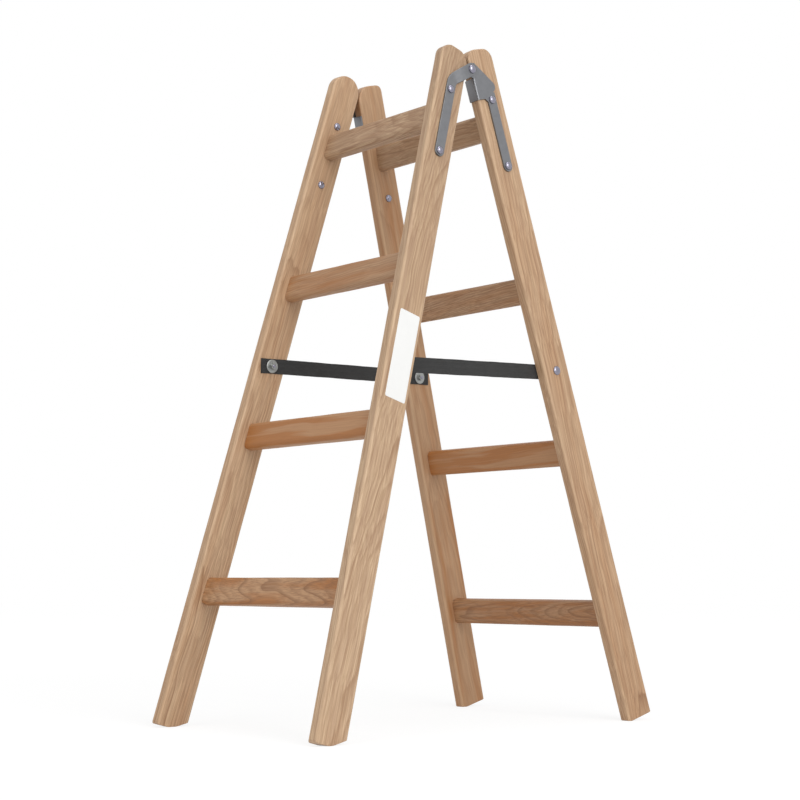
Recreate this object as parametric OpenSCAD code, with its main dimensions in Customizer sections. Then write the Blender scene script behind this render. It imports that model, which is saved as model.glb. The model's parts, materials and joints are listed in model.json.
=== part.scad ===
// Double-sided wooden stepladder: two rung frames hinged at the top, held open by two straps.
// X runs along the rungs, +Y points to the rear frame, +Z is up and the feet stand on Z = 0.
// The hinge axis lies in the plane Y = 0. The front frame leans to -Y, the rear frame to +Y.
// A drop is a distance down a stile, measured from the top of the left rear stile.

/* [Frames] */
// Outside width across the tops of the two stiles of a frame
top_width = 317; // [290:1:350]
// Outside width of a frame at the square ends of the front stiles
foot_width = 450; // [400:1:500]
// Lean of each frame from upright when the ladder stands open, in degrees
lean = 15.6; // [13:0.1:18]
// Room between the stiles of the two frames when the ladder is shut
shut_gap = 10.4; // [9.4:0.1:14]

/* [Stiles] */
// Drop of the square ends of the front stiles
front_stile_length = 1218; // [1140:1:1400]
// Depth of a stile, from its outer to its inner narrow face
stile_depth = 60; // [54:1:72]
// Thickness of a stile
stile_thickness = 21; // [18:0.5:26]
// Radius of the eased long edges of a stile
stile_edge_radius = 4; // [2:0.5:6]
// How far the left front stile's top stands above that of the left rear stile
front_left_top_rise = 6.5; // [0:0.5:8]
// Radius of the outer corner of the left front stile's top
front_left_top_outer_radius = 29; // [10:1:30]
// Radius of the inner corner of the left front stile's top
front_left_top_inner_radius = 29; // [12:1:30]
// Drop of the right front stile's top
front_right_top_drop = 12.5; // [0:0.5:14]
// Radius of the outer corner of the right front stile's top
front_right_top_outer_radius = 22; // [10:1:30]
// Radius of the inner corner of the right front stile's top
front_right_top_inner_radius = 24; // [12:1:30]
// Drop of the right rear stile's top
rear_right_top_drop = 3; // [0:0.5:8]
// Radius of the outer corner of the right rear stile's top
rear_right_top_outer_radius = 20; // [10:1:30]
// Radius of the inner corner of the right rear stile's top
rear_right_top_inner_radius = 20; // [12:1:30]
// Radius of the outer corner of the left rear stile's top
rear_left_top_outer_radius = 12; // [10:1:30]
// Radius of the inner corner of the left rear stile's top
rear_left_top_inner_radius = 29; // [12:1:30]
// Rise of the slanting cut on the inner half of a front stile's foot
front_foot_bevel_rise = 16; // [12:1:20]
// Radius of the eased outer corner of a front stile's foot
front_foot_corner_radius = 5; // [2:0.5:8]
// Width of the flat on which each foot stands, at the outside face of its stile
foot_flat = 8; // [4:0.5:12]

/* [Rungs] */
// Height of a rung, along the stile
rung_height = 47; // [40:1:54]
// Thickness of a rung, across the depth of the stile
rung_thickness = 23; // [19:1:30]
// Radius of the rounded long edges of a rung
rung_edge_radius = 8; // [4:0.5:9]
// Drop of the top rung's centre on the front frame
front_first_rung = 140; // [130:1:160]
// Distance from rung to rung on the front frame
front_rung_pitch = 280; // [250:1:300]
// Drop of the top rung's centre on the rear frame
rear_first_rung = 139; // [130:1:160]
// Distance from rung to rung on the rear frame
rear_rung_pitch = 294; // [250:1:300]
// Height of a tenon, along the stile
tenon_height = 35; // [24:1:38]
// Thickness of a tenon
tenon_thickness = 11; // [8:0.5:14]
// Length of a tenon beyond the shoulder of its rung
tenon_length = 14; // [8:0.5:15]
// Room between a tenon and its mortise, on each side and at the end
tenon_clearance = 0.1; // [0.05:0.05:0.4]

/* [Hinges] */
// Drop of the hinge axis
hinge_drop = 38.5; // [32:0.5:42]
// Thickness of the steel of the hinge leaves
leaf_thickness = 3; // [2:0.25:4]
// Width of a leaf's bar
leaf_width = 20; // [18:0.5:24]
// Drop of the upper rivet of a leaf
upper_rivet_drop = 95; // [94:1:99]
// Drop of the lower rivet of a leaf
lower_rivet_drop = 213; // [196:1:240]
// Drop at which the bar of the front leaf turns towards the hinge axis
front_leaf_bend_drop = 76; // [72:1:77]
// How much wider than its bar the front leaf is across this bend
front_leaf_bend_bulge = 1; // [0.6:0.2:2]
// Radius of the round eye of a leaf at the hinge axis
eye_radius = 11; // [10:0.5:12]
// Reach of the wide plate of the rear leaf beyond its centre line
plate_reach = 16.5; // [12:0.5:18]
// Drop of the lower edge of the rear leaf's plate
plate_end_drop = 92; // [88:1:96]
// Size of the slanting corner where this plate narrows to the bar
plate_ease = 6; // [2:1:8]
// Drop of the upper edge of the rear leaf's flange
flange_start_drop = 54; // [53:1:60]
// Depth of the flange that hooks round the inner face of the rear stile
flange_depth = 19; // [12:1:20]
// Room between the two eyes, and between an eye and the other frame's stile
eye_clearance = 0.6; // [0.5:0.1:1]
// Diameter of the rivets that hold the leaves
rivet_diameter = 6; // [5:0.5:8]
// Diameter of the round heads of these rivets
rivet_head_diameter = 14; // [12:0.5:17]
// Height of the round heads of these rivets
rivet_head_height = 4.5; // [3:0.25:6]
// Room round a rivet or bolt in its hole, on the radius
hole_clearance = 0.1; // [0.05:0.05:0.3]
// Diameter of the hinge pin
pin_diameter = 8; // [6:0.5:8]
// Room round the hinge pin in the eyes, on the radius
pin_clearance = 0.05; // [0.02:0.01:0.1]
// Diameter of the round head of the hinge pin
pin_head_diameter = 15; // [13:0.5:18]
// Height of the round head of the hinge pin
pin_head_height = 5; // [3:0.25:6]
// Diameter of the small inner head of the hinge pin, between the stiles
pin_tail_diameter = 8.8; // [8.4:0.1:9]
// Thickness of the small inner head of the hinge pin
pin_tail_thickness = 1.8; // [1:0.1:2.5]

/* [Straps] */
// Drop of the strap bolt on the left front stile
front_left_strap_drop = 567; // [520:1:640]
// Drop of the strap bolt on the right front stile
front_right_strap_drop = 597; // [520:1:640]
// Drop of the strap bolt on the left rear stile
rear_left_strap_drop = 559; // [520:1:640]
// Drop of the strap bolt on the right rear stile
rear_right_strap_drop = 581; // [520:1:640]
// Width of the webbing
strap_width = 26.5; // [20:0.5:30]
// Thickness of the webbing
strap_thickness = 2; // [1.4:0.1:3]
// Room left between the cut end of a strap and the outer face of its stile
strap_end_setback = 8; // [4:1:14]
// Room between the webbing and the stile
strap_seat = 0.05; // [0.02:0.01:0.2]
// Diameter of the strap bolts
bolt_diameter = 6; // [5:0.5:8]
// Diameter of the round head of a strap bolt
bolt_head_diameter = 16; // [13:0.5:18]
// Height of the round head of a strap bolt
bolt_head_height = 4; // [3:0.25:5]
// Diameter of the washers that press on the webbing
washer_diameter = 24; // [18:0.5:26]
// Thickness of these washers
washer_thickness = 1.6; // [1:0.1:2.5]
// Width of the nuts across their flats
nut_width = 10; // [9:0.5:13]
// Height of the nuts
nut_height = 5; // [4:0.5:7]
// Room between a bolt and its nut, on the radius
nut_clearance = 0.05; // [0.02:0.01:0.1]
// Length of bolt that stands out of its nut
bolt_tail = 1.5; // [0.5:0.5:4]
// Depth to which the bolt head under the label is let into the wood
recess_depth = 4.4; // [4.1:0.1:6]
// Room round that bolt head in its recess
recess_clearance = 0.8; // [0.4:0.1:1.5]

/* [Label] */
// Length of the blank label on the right front stile
label_length = 152; // [120:1:180]
// Width of the blank label
label_width = 43; // [36:1:44]
// Thickness of the blank label
label_thickness = 0.3; // [0.2:0.05:0.5]
// Drop of the label's centre
label_drop = 586; // [540:1:640]
// Distance of the label's centre line inwards from the middle of the stile
label_offset = 2; // [0:0.5:3]

/* [Hidden] */
$fn = 64;
LEFT = -1;
RIGHT = 1;
FRONT = -1;
REAR = 1;
PINE = [0.80, 0.62, 0.43];
RUNG_PINE = [0.70, 0.50, 0.32];
STEEL = [0.50, 0.50, 0.52];
BRIGHT = [0.78, 0.78, 0.80];
ZINC = [0.62, 0.64, 0.63];
WEBBING = [0.17, 0.17, 0.17];
PAPER = [0.95, 0.95, 0.94];

rung_count = 4;
// The least flat that is left between the two round corners of a stile's top.
top_flat = 1;
// How far the parts of one solid run into each other.
weld = 0.01;
// Height of the block of ground that trims the feet.
ground_depth = 3000;
// Least room between the top of a stile and the plane Y = 0, where the tops of a pair come closest.
top_clearance = 0.2;
side_slope = (foot_width - top_width) / 2 / front_stile_length;
splay = atan(side_slope);
stile_side = stile_thickness / cos(splay);
middle = shut_gap / 2 + stile_depth / 2;

// The foot of a front stile is a blunt point: the square cut leans one way, the slanting cut the other.
bevel_angle = atan(front_foot_bevel_rise / (stile_depth / 2)) - lean;
front_wear = foot_flat / (1 / tan(lean) + 1 / tan(bevel_angle));
rear_wear = foot_flat * sin(lean) * cos(lean);
front_reach = front_stile_length * cos(splay) - hinge_drop;
hinge_height = front_reach * cos(lean) - middle * sin(lean) - front_wear;
// A rear stile ends where its inner corner, before the flat is worn, reaches the ground.
rear_reach = (hinge_height + rear_wear + shut_gap / 2 * sin(lean)) / cos(lean);
rear_stile_length = (hinge_drop + rear_reach) / cos(splay);

eye_plane = top_width / 2 + hinge_drop * side_slope + eye_clearance;
// The front leaf clears the rear eye and, down to its bend, the splaying stile.
bend_reach = front_leaf_bend_drop + (leaf_width + front_leaf_bend_bulge) / 2;
front_eye_plane = max(eye_plane + leaf_thickness + eye_clearance, top_width / 2 + bend_reach * side_slope);
bolt_in = strap_seat + strap_thickness;

// Depth of the middle of the webbing, from the outside face of the stile.
strap_depth_in = stile_thickness + strap_seat + strap_thickness / 2;
strap_tilt = atan(side_slope * cos(lean));

// ---- Places ----

function rung_drop(frame, number) = frame == FRONT
    ? front_first_rung + (number - 1) * front_rung_pitch
    : rear_first_rung + (number - 1) * rear_rung_pitch;

// Half of the clear width between the stiles at a drop.
function inside_half(drop) = top_width / 2 + drop * side_slope - stile_side;

function strap_drop(frame, side) = frame == FRONT
    ? (side == LEFT ? front_left_strap_drop : front_right_strap_drop)
    : (side == LEFT ? rear_left_strap_drop : rear_right_strap_drop);

// Middle of the webbing at a strap bolt, with +X away from the middle of the ladder on both sides.
function strap_point(frame, side) =
    let (
        drop = strap_drop(frame, side),
        down = drop * cos(splay) + strap_depth_in * sin(splay) - hinge_drop
    )
    [
        top_width / 2 + drop * sin(splay) - strap_depth_in * cos(splay),
        frame * (middle * cos(lean) + down * sin(lean)),
        hinge_height + middle * sin(lean) - down * cos(lean)
    ];

// Slope of a strap from the front to the rear frame, then its angle to the square across a stile.
function strap_rise(side) =
    let (way = strap_point(REAR, side) - strap_point(FRONT, side))
    atan2(way[2], way[1]);
function strap_turn(frame, side) = lean - frame * strap_rise(side);

// Where the middle of the webbing leaves the inner edge of a stile, along the stile's inside face.
function strap_edge(frame, side) =
    let (turn = strap_turn(frame, side), run = stile_depth / 2 / cos(turn))
    strap_point(frame, side) + run * [
        -sin(splay) * sin(turn),
        -frame * (cos(turn) * cos(lean) + sin(turn) * cos(splay) * sin(lean)),
        sin(turn) * cos(splay) * cos(lean) - cos(turn) * sin(lean)
    ];

// Frame axes: origin on the hinge axis, +Z up along the frame, +Y out of the ladder.
module on_frame(frame) {
    translate([0, 0, hinge_height])
        if (frame == REAR) rotate([lean, 0, 0]) children();
        else mirror([0, 1, 0]) rotate([lean, 0, 0]) children();
}

module on_side(side) {
    if (side == RIGHT) children();
    else mirror([1, 0, 0]) children();
}

// Stile axes: origin in the outside face, in the middle of its depth, at the square end of the top.
// +X points out of the face, +Y to the outer narrow face and -Z down the stile.
module on_stile(frame, side) {
    on_frame(frame) on_side(side)
        translate([top_width / 2, middle, hinge_drop]) rotate([0, -splay, 0]) children();
}

// A point on the stile's centre line, with +Z turned to +X, out of the outside face.
module out_of_stile(frame, side, drop) {
    on_stile(frame, side) translate([0, 0, -drop]) rotate([0, 90, 0]) children();
}

// The same point on the inside face, with +Z pointing into the ladder.
module into_ladder(frame, side, drop) {
    on_stile(frame, side) translate([-stile_thickness, 0, -drop]) rotate([0, -90, 0]) children();
}

// Profiles in the depth and drop of a stile, drawn with +X as depth and -Y as drop.
module extrude_side(from, thickness) {
    translate([from, 0, 0]) rotate([90, 0, 90]) linear_extrude(thickness) children();
}

// ---- Basic shapes ----

module rounded_rectangle(width, height, radius) {
    square([width - 2 * radius, height], center = true);
    square([width, height - 2 * radius], center = true);
    for (x = [-1, 1], y = [-1, 1])
        translate([x * (width / 2 - radius), y * (height / 2 - radius)]) circle(radius);
}

// Round head on the plane Z = 0, a cap of a sphere.
module round_head(diameter, height) {
    sphere_radius = (diameter * diameter / 4 + height * height) / (2 * height);
    intersection() {
        translate([0, 0, height - sphere_radius]) sphere(sphere_radius);
        cylinder(d = diameter + 1, h = height + 1);
    }
}

// A bar from one point to another, without its round ends.
module bar(from, to, width) {
    way = to - from;
    translate(from) rotate(atan2(way[1], way[0])) translate([0, -width / 2]) square([norm(way), width]);
}

// ---- Stiles ----

// What is cut away to round a corner at the origin, where the wood lies to -X and -Y.
module corner_cut(radius) {
    translate([-radius, -radius]) difference() {
        square(2 * radius);
        circle(radius);
    }
}

module stile_profile(length, top_drop, outer_radius, inner_radius) {
    half = stile_depth / 2;
    most = half - top_flat / 2;
    difference() {
        translate([-half, -length]) square([stile_depth, length - top_drop]);
        translate([half, -top_drop]) corner_cut(min(outer_radius, most));
        translate([-half, -top_drop]) mirror([1, 0]) corner_cut(min(inner_radius, most));
    }
}

// What is cut away from a front stile's foot: the slant on its inner half and its outer corner.
module front_foot_cut(length) {
    half = stile_depth / 2;
    translate([0, -length]) rotate(-atan(front_foot_bevel_rise / half))
        translate([-stile_depth, -stile_depth]) square(stile_depth);
    translate([half, -length]) mirror([0, 1]) corner_cut(front_foot_corner_radius);
}

module stile_blank(length, top_drop, outer_radius, inner_radius, foot_bevelled) {
    intersection() {
        extrude_side(-stile_thickness, stile_thickness) difference() {
            stile_profile(length, top_drop, outer_radius, inner_radius);
            if (foot_bevelled) front_foot_cut(length);
        }
        translate([-stile_thickness / 2, 0, -length - 1]) linear_extrude(length - top_drop + 2)
            rounded_rectangle(stile_thickness, stile_depth, stile_edge_radius);
    }
}

// A tenon from stile to stile. As a cutter, with some room round it, it makes both mortises.
module tenon(frame, number, room) {
    drop = rung_drop(frame, number);
    reach = inside_half(drop) + tenon_length + room;
    on_frame(frame) translate([0, middle, hinge_drop - drop])
        cube([2 * reach, tenon_thickness + 2 * room, tenon_height + 2 * room], center = true);
}

module mortises(frame) {
    for (number = [1:rung_count])
        tenon(frame, number, tenon_clearance);
}

module stile_holes(frame, side) {
    for (drop = [upper_rivet_drop, lower_rivet_drop])
        out_of_stile(frame, side, drop)
            cylinder(r = rivet_diameter / 2 + hole_clearance, h = 3 * stile_thickness, center = true);
    out_of_stile(frame, side, strap_drop(frame, side))
        cylinder(r = bolt_diameter / 2 + hole_clearance, h = 3 * stile_thickness, center = true);
}

module below_ground() {
    translate([0, 0, -ground_depth / 2]) cube(ground_depth, center = true);
}

// What lies beyond the plane between the frames, where a stile's top may not reach.
module beyond_middle(frame) {
    reach = stile_depth;
    translate([0, frame * (top_clearance - reach / 2), hinge_height + reach / 2])
        cube([2 * foot_width, reach, reach], center = true);
}

module front_stile(side, top_drop, outer_radius, inner_radius) {
    color(PINE) difference() {
        on_stile(FRONT, side)
            stile_blank(front_stile_length, top_drop, outer_radius, inner_radius, true);
        mortises(FRONT);
        stile_holes(FRONT, side);
        if (side == RIGHT)
            out_of_stile(FRONT, side, front_right_strap_drop) translate([0, 0, -recess_depth])
                cylinder(r = bolt_head_diameter / 2 + recess_clearance, h = stile_thickness);
        beyond_middle(FRONT);
        below_ground();
    }
}

module rear_stile(side, top_drop, outer_radius, inner_radius) {
    color(PINE) difference() {
        on_stile(REAR, side)
            stile_blank(rear_stile_length, top_drop, outer_radius, inner_radius, false);
        mortises(REAR);
        stile_holes(REAR, side);
        beyond_middle(REAR);
        below_ground();
    }
}

// ---- Rungs ----

// The room between the inside faces of a frame's stiles, as a wedge that widens downwards.
module between_stiles(drop) {
    above = drop - rung_height;
    below = drop + rung_height;
    rotate([90, 0, 0]) linear_extrude(2 * rung_thickness, center = true) polygon([
        [-inside_half(above), rung_height], [inside_half(above), rung_height],
        [inside_half(below), -rung_height], [-inside_half(below), -rung_height]
    ]);
}

module rung(frame, number) {
    drop = rung_drop(frame, number);
    color(RUNG_PINE) {
        on_frame(frame) translate([0, middle, hinge_drop - drop]) intersection() {
            rotate([90, 0, 90]) linear_extrude(foot_width, center = true)
                rounded_rectangle(rung_thickness, rung_height, rung_edge_radius);
            between_stiles(drop);
        }
        tenon(frame, number, 0);
    }
}

// ---- Hinges ----

module leaf_holes(frame, side, pin_plane) {
    for (drop = [upper_rivet_drop, lower_rivet_drop])
        out_of_stile(frame, side, drop)
            cylinder(r = rivet_diameter / 2 + hole_clearance, h = 4 * leaf_thickness, center = true);
    on_frame(frame) on_side(side) translate([pin_plane - leaf_thickness, 0, 0]) rotate([0, 90, 0])
        cylinder(r = pin_diameter / 2 + pin_clearance, h = 3 * leaf_thickness);
}

// The straight lower bar of a leaf, which lies on the stile from its bend to its round end.
module leaf_bar(start_drop) {
    bar([0, -start_drop], [0, -lower_rivet_drop], leaf_width);
    translate([0, -lower_rivet_drop]) circle(d = leaf_width);
}

// The front leaf's bar turns to the hinge axis and stands off the stile there, outside the rear eye.
module front_leaf(side) {
    bend = [middle, hinge_drop - front_leaf_bend_drop];
    color(STEEL) difference() {
        union() {
            on_stile(FRONT, side) extrude_side(0, leaf_thickness) {
                leaf_bar(front_leaf_bend_drop);
                translate([0, -front_leaf_bend_drop]) circle(d = leaf_width);
            }
            on_frame(FRONT) on_side(side) extrude_side(front_eye_plane, leaf_thickness) {
                circle(eye_radius);
                bar([0, 0], bend, leaf_width);
                translate(bend) circle(d = leaf_width + front_leaf_bend_bulge);
            }
        }
        leaf_holes(FRONT, side, front_eye_plane);
    }
}

// The rear leaf widens into a plate whose lower part hooks round the inner face of the stile.
module rear_plate_profile() {
    to_axis = [middle, hinge_drop - front_leaf_bend_drop];
    across = [-to_axis[1], to_axis[0]] / norm(to_axis);
    half = stile_depth / 2;
    corner = to_axis - [middle, hinge_drop] + across * (plate_reach - leaf_width / 2);
    intersection() {
        union() {
            bar([-middle, -hinge_drop] + across * (plate_reach - leaf_width / 2), corner, leaf_width);
            translate(corner) circle(d = leaf_width);
            polygon([
                [-half, -flange_start_drop],
                [0, -flange_start_drop],
                corner,
                [leaf_width / 2, -upper_rivet_drop],
                [-leaf_width / 2, -plate_end_drop - plate_ease],
                [-leaf_width / 2 - plate_ease, -plate_end_drop],
                [-half, -plate_end_drop]
            ]);
        }
        translate([-half, -lower_rivet_drop]) square([stile_depth, lower_rivet_drop]);
    }
}

module rear_leaf(side) {
    half = stile_depth / 2;
    flange_height = plate_end_drop - flange_start_drop;
    color(STEEL) difference() {
        union() {
            on_stile(REAR, side) {
                extrude_side(0, leaf_thickness) {
                    leaf_bar(plate_end_drop - leaf_width / 2);
                    rear_plate_profile();
                }
                translate([-flange_depth, -half - leaf_thickness, -plate_end_drop])
                    cube([flange_depth, leaf_thickness, flange_height]);
                translate([0, -half, -plate_end_drop]) cylinder(r = leaf_thickness, h = flange_height);
            }
            on_frame(REAR) on_side(side) extrude_side(eye_plane, leaf_thickness) {
                circle(eye_radius);
                bar([0, 0], [shut_gap / 2 + eye_radius, -eye_radius], 2 * eye_radius);
            }
        }
        on_stile(REAR, side) translate([-stile_thickness, -half, -rear_stile_length])
            cube([stile_thickness, stile_depth, rear_stile_length]);
        leaf_holes(REAR, side, eye_plane);
    }
}

// A rivet through a leaf and its stile, with a round head on each side.
module leaf_rivets(frame, side) {
    color(BRIGHT) for (drop = [upper_rivet_drop, lower_rivet_drop]) {
        out_of_stile(frame, side, drop) {
            translate([0, 0, leaf_thickness]) round_head(rivet_head_diameter, rivet_head_height);
            translate([0, 0, -stile_thickness - weld])
                cylinder(d = rivet_diameter, h = stile_thickness + leaf_thickness + 2 * weld);
        }
        into_ladder(frame, side, drop) round_head(rivet_head_diameter, rivet_head_height);
    }
}

module hinge_pin(side) {
    color(BRIGHT) on_frame(FRONT) on_side(side) rotate([0, 90, 0]) {
        translate([0, 0, front_eye_plane + leaf_thickness])
            round_head(pin_head_diameter, pin_head_height);
        translate([0, 0, eye_plane - weld])
            cylinder(d = pin_diameter, h = front_eye_plane - eye_plane + leaf_thickness + 2 * weld);
        translate([0, 0, eye_plane - pin_tail_thickness])
            cylinder(d = pin_tail_diameter, h = pin_tail_thickness);
    }
}

// ---- Straps ----

// The straight stretch between the frames, from edge to edge.
module strap_span(side) {
    from = strap_edge(FRONT, side);
    way = strap_edge(REAR, side) - from;
    on_side(side) translate(from) rotate([atan2(way[2], way[1]), 0, -atan2(way[0], way[1])])
        rotate([0, -strap_tilt, 0]) translate([-strap_thickness / 2, 0, -strap_width / 2])
            cube([strap_thickness, norm(way), strap_width]);
}

// One end of a strap against the inside face of its stile and a little past its inner edge.
module strap_end(frame, side) {
    turn = strap_turn(frame, side);
    inward = stile_depth / 2 / cos(turn) + strap_width / 2;
    outward = (stile_depth / 2 - strap_end_setback) / cos(turn);
    into_ladder(frame, side, strap_drop(frame, side)) rotate([0, 0, turn])
        translate([-strap_width / 2, -inward, strap_seat])
            cube([strap_width, inward + outward, strap_thickness]);
}

module strap(side) {
    color(WEBBING) difference() {
        union() {
            strap_end(FRONT, side);
            strap_end(REAR, side);
            strap_span(side);
        }
        for (frame = [FRONT, REAR])
            into_ladder(frame, side, strap_drop(frame, side))
                cylinder(r = bolt_diameter / 2 + hole_clearance, h = 3 * strap_thickness, center = true);
    }
}

module strap_bolt(frame, side, sunk) {
    head_plane = -sunk;
    through = stile_thickness + bolt_in + washer_thickness + nut_height + bolt_tail;
    color(BRIGHT) out_of_stile(frame, side, strap_drop(frame, side)) {
        translate([0, 0, head_plane]) round_head(bolt_head_diameter, bolt_head_height);
        translate([0, 0, -through]) cylinder(d = bolt_diameter, h = through + head_plane + weld);
    }
}

module strap_washer(frame, side) {
    color(ZINC) into_ladder(frame, side, strap_drop(frame, side)) translate([0, 0, bolt_in])
        difference() {
            cylinder(d = washer_diameter, h = washer_thickness);
            cylinder(r = bolt_diameter / 2 + hole_clearance, h = 3 * washer_thickness, center = true);
        }
}

module strap_nut(frame, side) {
    seat = bolt_in + washer_thickness;
    color(ZINC) into_ladder(frame, side, strap_drop(frame, side)) translate([0, 0, seat])
        difference() {
            cylinder(d = nut_width / cos(30), h = nut_height, $fn = 6);
            cylinder(r = bolt_diameter / 2 + nut_clearance, h = 3 * nut_height, center = true);
        }
}

// ---- Label ----

module blank_label() {
    color(PAPER) on_stile(FRONT, RIGHT)
        translate([0, -label_width / 2 - label_offset, -label_drop - label_length / 2])
            cube([label_thickness, label_width, label_length]);
}

// ---- Assembly ----

front_stile(LEFT, -front_left_top_rise, front_left_top_outer_radius, front_left_top_inner_radius);  // front_stile_left
front_stile(RIGHT, front_right_top_drop, front_right_top_outer_radius, front_right_top_inner_radius);  // front_stile_right
rear_stile(LEFT, 0, rear_left_top_outer_radius, rear_left_top_inner_radius);  // rear_stile_left
rear_stile(RIGHT, rear_right_top_drop, rear_right_top_outer_radius, rear_right_top_inner_radius);  // rear_stile_right
rung(FRONT, 1);  // front_rung_1
rung(FRONT, 2);  // front_rung_2
rung(FRONT, 3);  // front_rung_3
rung(FRONT, 4);  // front_rung_4
rung(REAR, 1);  // rear_rung_1
rung(REAR, 2);  // rear_rung_2
rung(REAR, 3);  // rear_rung_3
rung(REAR, 4);  // rear_rung_4
front_leaf(LEFT);  // front_leaf_left
front_leaf(RIGHT);  // front_leaf_right
rear_leaf(LEFT);  // rear_leaf_left
rear_leaf(RIGHT);  // rear_leaf_right
leaf_rivets(FRONT, LEFT);  // front_leaf_rivets_left
leaf_rivets(FRONT, RIGHT);  // front_leaf_rivets_right
leaf_rivets(REAR, LEFT);  // rear_leaf_rivets_left
leaf_rivets(REAR, RIGHT);  // rear_leaf_rivets_right
hinge_pin(LEFT);  // hinge_pin_left
hinge_pin(RIGHT);  // hinge_pin_right
strap(LEFT);  // strap_left
strap(RIGHT);  // strap_right
strap_bolt(FRONT, LEFT, 0);  // front_strap_bolt_left
strap_bolt(FRONT, RIGHT, recess_depth);  // front_strap_bolt_right
strap_bolt(REAR, LEFT, 0);  // rear_strap_bolt_left
strap_bolt(REAR, RIGHT, 0);  // rear_strap_bolt_right
strap_washer(FRONT, LEFT);  // front_strap_washer_left
strap_washer(FRONT, RIGHT);  // front_strap_washer_right
strap_washer(REAR, LEFT);  // rear_strap_washer_left
strap_washer(REAR, RIGHT);  // rear_strap_washer_right
strap_nut(FRONT, LEFT);  // front_strap_nut_left
strap_nut(FRONT, RIGHT);  // front_strap_nut_right
strap_nut(REAR, LEFT);  // rear_strap_nut_left
strap_nut(REAR, RIGHT);  // rear_strap_nut_right
blank_label();
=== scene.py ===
import functools
import json
import math

import bpy
import numpy as np
from bpy.props import FloatProperty, FloatVectorProperty, PointerProperty
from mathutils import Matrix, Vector


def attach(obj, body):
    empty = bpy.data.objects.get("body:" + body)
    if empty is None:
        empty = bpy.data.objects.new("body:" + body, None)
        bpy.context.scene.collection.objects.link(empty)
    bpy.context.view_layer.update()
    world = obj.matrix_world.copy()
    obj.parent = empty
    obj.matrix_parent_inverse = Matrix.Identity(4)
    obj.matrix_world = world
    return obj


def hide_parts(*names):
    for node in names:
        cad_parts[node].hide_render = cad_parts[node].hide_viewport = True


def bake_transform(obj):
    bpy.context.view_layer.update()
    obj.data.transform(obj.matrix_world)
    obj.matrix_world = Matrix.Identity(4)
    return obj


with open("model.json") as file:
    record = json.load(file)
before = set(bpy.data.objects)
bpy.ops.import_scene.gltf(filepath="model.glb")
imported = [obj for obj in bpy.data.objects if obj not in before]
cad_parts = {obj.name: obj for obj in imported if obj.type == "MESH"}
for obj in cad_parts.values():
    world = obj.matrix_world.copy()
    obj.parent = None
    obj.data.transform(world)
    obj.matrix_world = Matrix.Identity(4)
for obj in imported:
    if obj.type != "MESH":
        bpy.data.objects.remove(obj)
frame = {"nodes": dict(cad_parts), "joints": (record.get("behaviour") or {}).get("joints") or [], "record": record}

bl_info = {
    "name": "Double-sided wooden stepladder",
    "version": (1, 0, 0),
    "blender": (4, 5, 0),
    "location": "View3D > Sidebar > Stepladder",
    "description": "Pine stiles and rungs, steel hinges and webbing straps round the CAD frame",
    "category": "Object",
}

MM = 0.001
FRONT, REAR = -1, 1
LEFT, RIGHT = -1, 1
FRAME_NAMES = {FRONT: "front", REAR: "rear"}
SIDE_NAMES = {LEFT: "left", RIGHT: "right"}
HINGE_HEIGHT = frame["joints"][0]["pos_m"][2]


# ---- Sizes and colours ----


def linear(hex_colour):
    """An sRGB colour written as #RRGGBB, as linear red, green and blue."""
    shares = [int(hex_colour[i:i + 2], 16) / 255 for i in (1, 3, 5)]
    return tuple(c / 12.92 if c <= 0.04045 else ((c + 0.055) / 1.055) ** 2.4 for c in shares)


def length(name, text, metres):
    """A length that a user may change, in metres."""
    return FloatProperty(name=name, description=text, default=metres, subtype="DISTANCE", unit="LENGTH")


def colour(name, text, hex_colour):
    """A colour that a user may change."""
    return FloatVectorProperty(
        name=name, description=text, default=linear(hex_colour), subtype="COLOR", min=0, max=1
    )


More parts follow.
